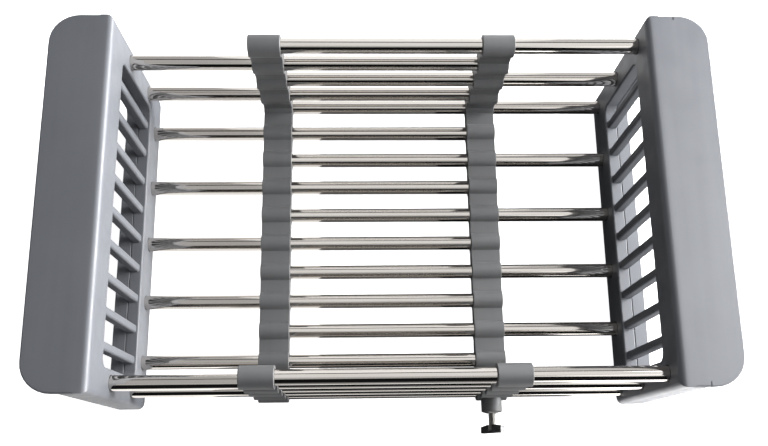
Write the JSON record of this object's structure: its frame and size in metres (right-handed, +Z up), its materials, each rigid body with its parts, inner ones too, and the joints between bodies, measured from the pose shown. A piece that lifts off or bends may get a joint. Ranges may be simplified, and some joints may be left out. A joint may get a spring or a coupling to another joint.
{
  "type": "expandable sink rack",
  "caption": "Expandable over-sink drain basket: steel tubes of two halves slide through scalloped spines between slatted end frames with sink-edge flanges, held by a lock screw.",
  "frame": {"origin": "under the middle of the whole outline, on the plane that the end frames stand on", "axes": "+X along the tubes towards the right end, +Y to the back, +Z up; the lock screw is at the front, on the -Y side"},
  "size_m": [0.4026, 0.249, 0.1152],
  "materials": {
    "frame_plastic": "satin moulded grey",
    "spine_plastic": "satin moulded dark grey",
    "tube_steel": "polished stainless",
    "lock_metal": "plated",
    "handle_plastic": "gloss black"
  },
  "bodies": {
    "right_half": {"right_end_frame": "frame_plastic", "right_end_cover": "frame_plastic", "left_spine": "spine_plastic", "right_tube_01": "tube_steel", "right_tube_02": "tube_steel", "right_tube_03": "tube_steel", "right_tube_04": "tube_steel", "right_tube_05": "tube_steel", "right_tube_06": "tube_steel", "right_tube_07": "tube_steel", "right_tube_08": "tube_steel", "right_tube_09": "tube_steel", "right_tube_10": "tube_steel"},
    "left_half": {"left_end_frame": "frame_plastic", "left_end_cover": "frame_plastic", "right_spine": "spine_plastic", "lock_nut": "lock_metal", "left_tube_01": "tube_steel", "left_tube_02": "tube_steel", "left_tube_03": "tube_steel", "left_tube_04": "tube_steel", "left_tube_05": "tube_steel", "left_tube_06": "tube_steel", "left_tube_07": "tube_steel", "left_tube_08": "tube_steel", "left_tube_09": "tube_steel"},
    "lock_screw": {"lock_screw": "lock_metal"},
    "lock_handle": {"lock_handle": "handle_plastic"}
  },
  "joints": [
    {"name": "extension", "type": "slide", "parent": "right_half", "child": "left_half", "axis": [-1, 0, 0], "range_m": [-0.078, 0.127]},
    {"name": "lock_travel", "type": "slide", "parent": "left_half", "child": "lock_screw", "axis": [0, -1, 0], "range_m": [0, 0.0016]},
    {"name": "lock_turn", "type": "hinge", "parent": "lock_screw", "child": "lock_handle", "pos_m": [0.074, -0.1217, 0.0125], "axis": [0, -1, 0], "range_deg": [0, 720]}
  ],
  "couplings": [
    {"joint": "lock_turn", "follows": "lock_travel", "rad_per_m": 7854}
  ]
}
